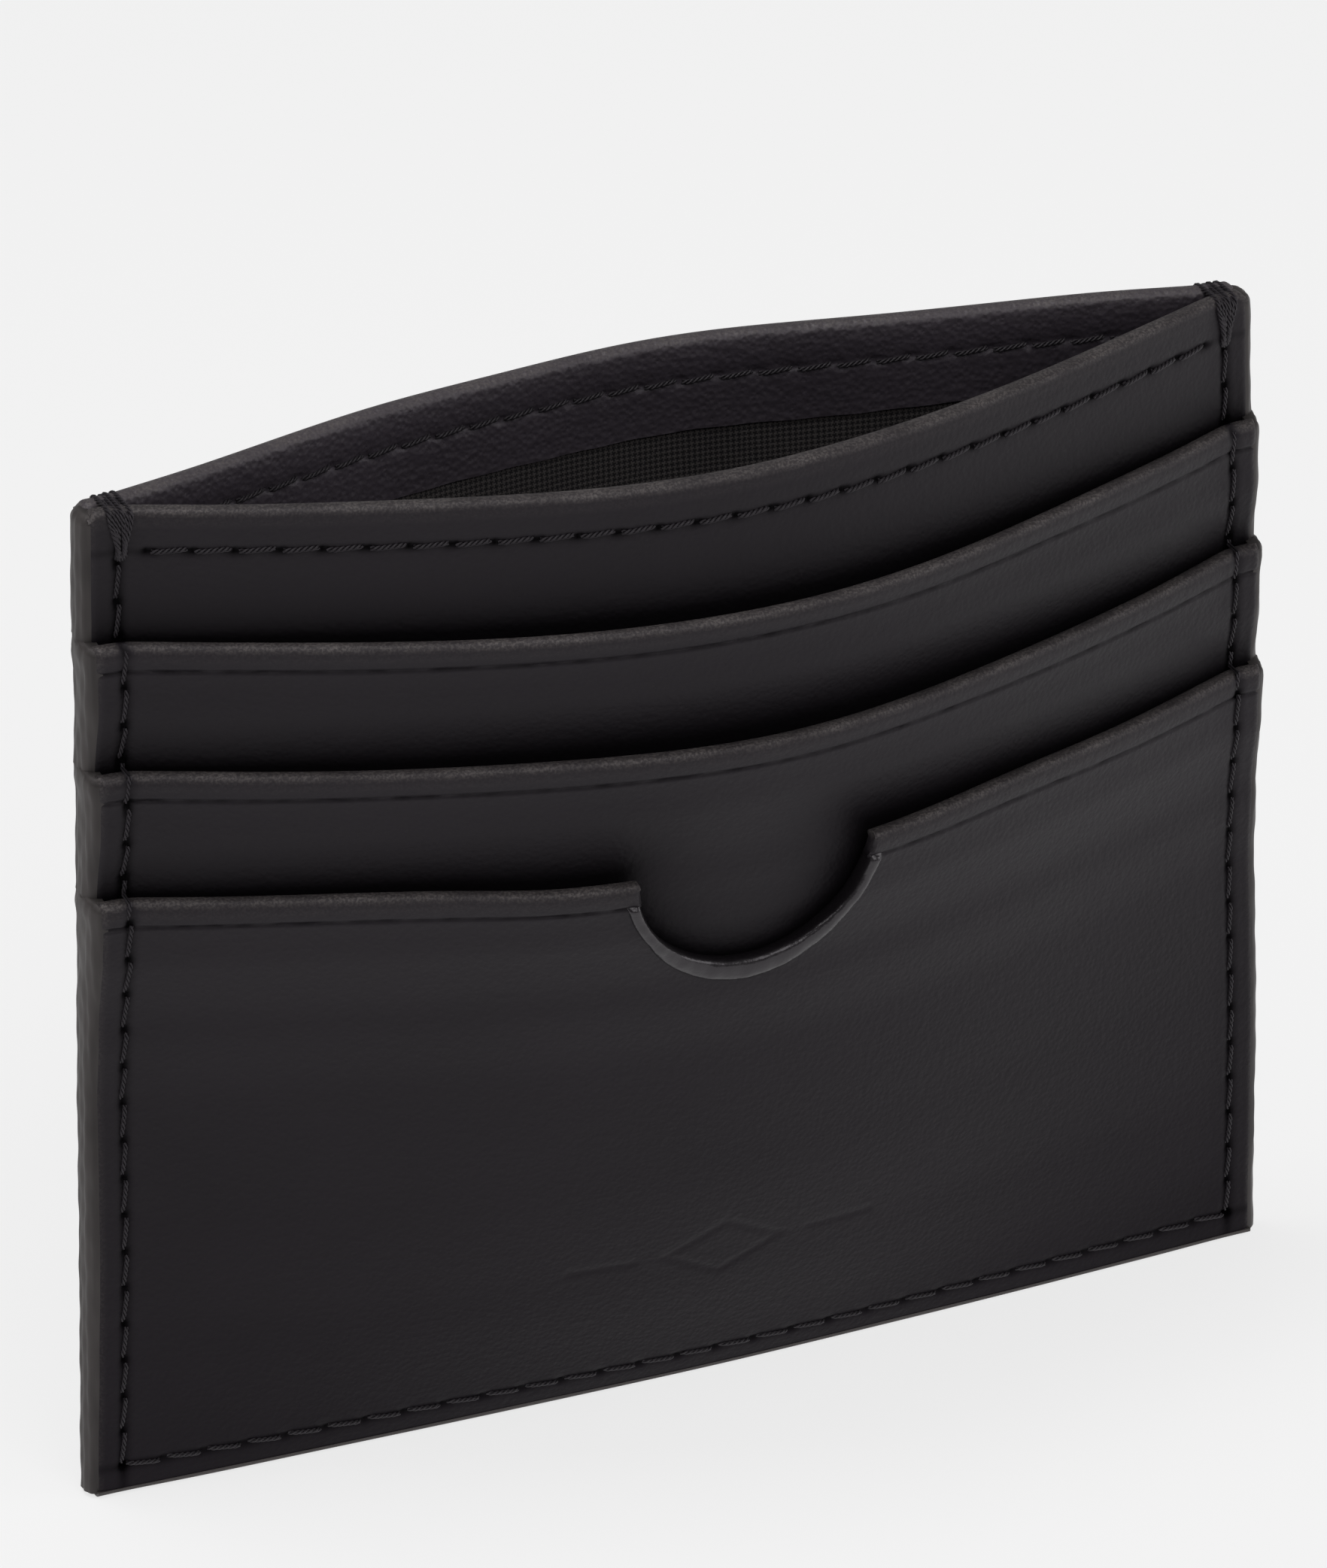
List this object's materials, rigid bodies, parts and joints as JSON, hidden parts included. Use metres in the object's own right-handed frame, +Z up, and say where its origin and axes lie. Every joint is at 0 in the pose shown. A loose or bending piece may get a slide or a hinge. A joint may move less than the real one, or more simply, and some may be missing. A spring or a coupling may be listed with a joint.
{
  "type": "card holder",
  "caption": "Slim open-topped leather card holder with stepped front card pockets, a bound thumb notch in the lowest pocket and a main compartment standing open.",
  "frame": {"origin": "middle of the bottom edge, halfway along it and halfway through its thickness, on the surface it stands on", "axes": "+X along the holder's width, to the right seen from the front; +Y from the pocketed front to the plain back; +Z up to the mouth"},
  "size_m": [0.0954, 0.0284, 0.0804],
  "materials": {
    "leather": "smooth fine-grained black leather, satin",
    "binding_leather": "thin smooth black leather strip, satin",
    "lining_cloth": "fine plain-woven black cloth, matt",
    "thread": "three-ply twisted black thread, waxed",
    "edge_paint": "built-up dark edge paint, satin"
  },
  "bodies": {
    "root": {"rear_panel": "leather", "rear_lining": "lining_cloth", "front_lining": "lining_cloth", "front_panel": "leather", "front_panel_backing": "lining_cloth", "upper_card_pocket": "leather", "upper_pocket_backing": "lining_cloth", "middle_card_pocket": "leather", "middle_pocket_backing": "lining_cloth", "front_pocket": "leather", "notch_binding": "binding_leather", "edge_paint_left": "edge_paint", "edge_paint_bottom": "edge_paint", "edge_paint_right": "edge_paint", "perimeter_stitching": "thread", "front_mouth_stitching": "thread", "rear_mouth_stitching": "thread", "bar_tack_left": "thread", "bar_tack_right": "thread", "upper_pocket_base_stitching": "thread", "middle_pocket_base_stitching": "thread"}
  },
  "joints": []
}
